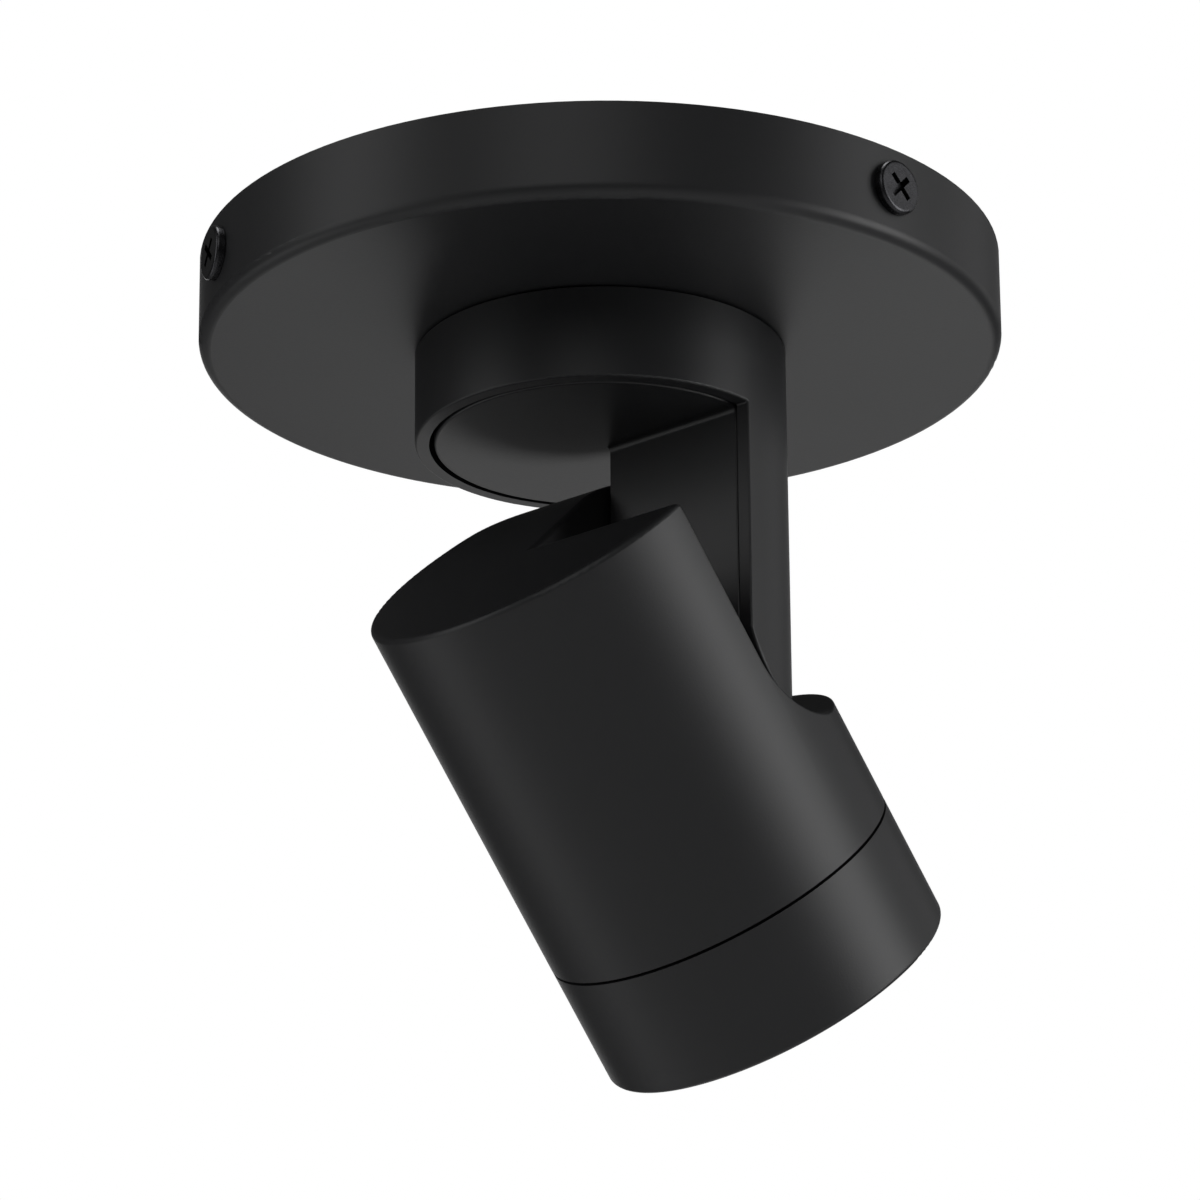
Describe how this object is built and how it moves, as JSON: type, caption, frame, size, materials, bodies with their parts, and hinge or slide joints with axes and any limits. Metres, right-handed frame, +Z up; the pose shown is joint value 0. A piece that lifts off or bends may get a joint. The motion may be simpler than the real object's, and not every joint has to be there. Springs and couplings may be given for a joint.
{
  "type": "ceiling spotlight",
  "caption": "Round surface-mounted ceiling spotlight: a pan with side screws, a turning collar with a half-round arm, and a drum head that tilts on the arm.",
  "frame": {"origin": "centre of the pan's ceiling face", "axes": "+Z up, into the ceiling; +X towards the side that the lamp face tilts to; +Y along the tilt hinge, from the arm towards the head"},
  "size_m": [0.13, 0.1316, 0.1338],
  "materials": {
    "black_pan": "satin black paint",
    "black_casting": "satin black paint",
    "black_cover": "satin black paint",
    "black_screw": "satin black",
    "zinc_steel": "zinc plated",
    "spring_steel": "satin",
    "green_screw": "satin green",
    "tinned_copper": "tinned",
    "white_plastic": "matte",
    "brass": "turned",
    "foam": "foam tape",
    "board_green": "solder mask",
    "black_plastic": "gloss",
    "yellow_tape": "tape",
    "nylon": "natural nylon",
    "black_wire": "insulation",
    "white_wire": "insulation",
    "green_wire": "insulation",
    "cable_jacket": "insulation",
    "aluminium": "as cast",
    "grey_rubber": "soft pad",
    "white_board": "white solder mask",
    "phosphor": "yellow phosphor",
    "bright_reflector": "bright",
    "clear_glass": "clear",
    "black_rubber": "matte"
  },
  "bodies": {
    "ceiling_side": {"canopy": "black_pan", "canopy_screws": "black_screw", "mounting_plate": "zinc_steel", "swivel_toothed_washer": "zinc_steel", "swivel_upper_nut": "zinc_steel", "swivel_lower_nut": "zinc_steel", "swivel_tube": "zinc_steel", "swivel_stop_pin": "zinc_steel", "terminal_block_screws": "zinc_steel", "clamp_screws": "zinc_steel", "swivel_spring_washer": "spring_steel", "ground_screw": "green_screw", "ring_tag": "tinned_copper", "terminal_block": "white_plastic", "driver_case": "white_plastic", "driver_lid": "white_plastic", "terminal_barrels": "brass", "driver_pad": "foam", "driver_board": "board_green", "driver_terminals": "black_plastic", "driver_capacitor": "black_plastic", "driver_transformer": "yellow_tape", "swivel_slip_washer": "nylon", "live_wire": "black_wire", "neutral_wire": "white_wire", "ground_wire": "green_wire", "lamp_cable_canopy": "cable_jacket"},
    "arm_body": {"arm": "black_casting", "arm_cover": "black_cover", "swivel_nylon_washer": "nylon", "hinge_tube": "zinc_steel", "hinge_toothed_washer": "zinc_steel", "hinge_arm_nut": "zinc_steel", "hinge_slip_washer": "nylon", "hinge_spring_washer": "spring_steel", "hinge_head_nut": "zinc_steel", "tilt_stop_pin": "zinc_steel", "lamp_cable_arm": "cable_jacket"},
    "head_body": {"head_shell": "black_casting", "hinge_nylon_washer": "nylon", "heat_sink": "aluminium", "heat_sink_screws": "zinc_steel", "thermal_pad": "grey_rubber", "light_board": "white_board", "light_emitter": "phosphor", "light_holder": "white_plastic", "light_holder_screws": "zinc_steel", "reflector": "bright_reflector", "lamp_cable_head": "cable_jacket"},
    "ring_body": {"front_ring": "black_casting", "front_glass": "clear_glass", "gasket": "black_rubber", "glass_clip": "spring_steel"}
  },
  "joints": [
    {"name": "arm_swivel", "type": "hinge", "parent": "ceiling_side", "child": "arm_body", "pos_m": [0, 0, -0.0159], "axis": [0, 0, 1], "range_deg": [-170, 170]},
    {"name": "head_tilt", "type": "hinge", "parent": "arm_body", "child": "head_body", "pos_m": [0.015, 0, -0.0629], "axis": [0, -1, 0], "range_deg": [-43, 47]},
    {"name": "ring_twist", "type": "hinge", "parent": "head_body", "child": "ring_body", "pos_m": [0.00403, 0, -0.07313], "axis": [-0.682, 0, 0.7314], "range_deg": [0, 20]}
  ]
}
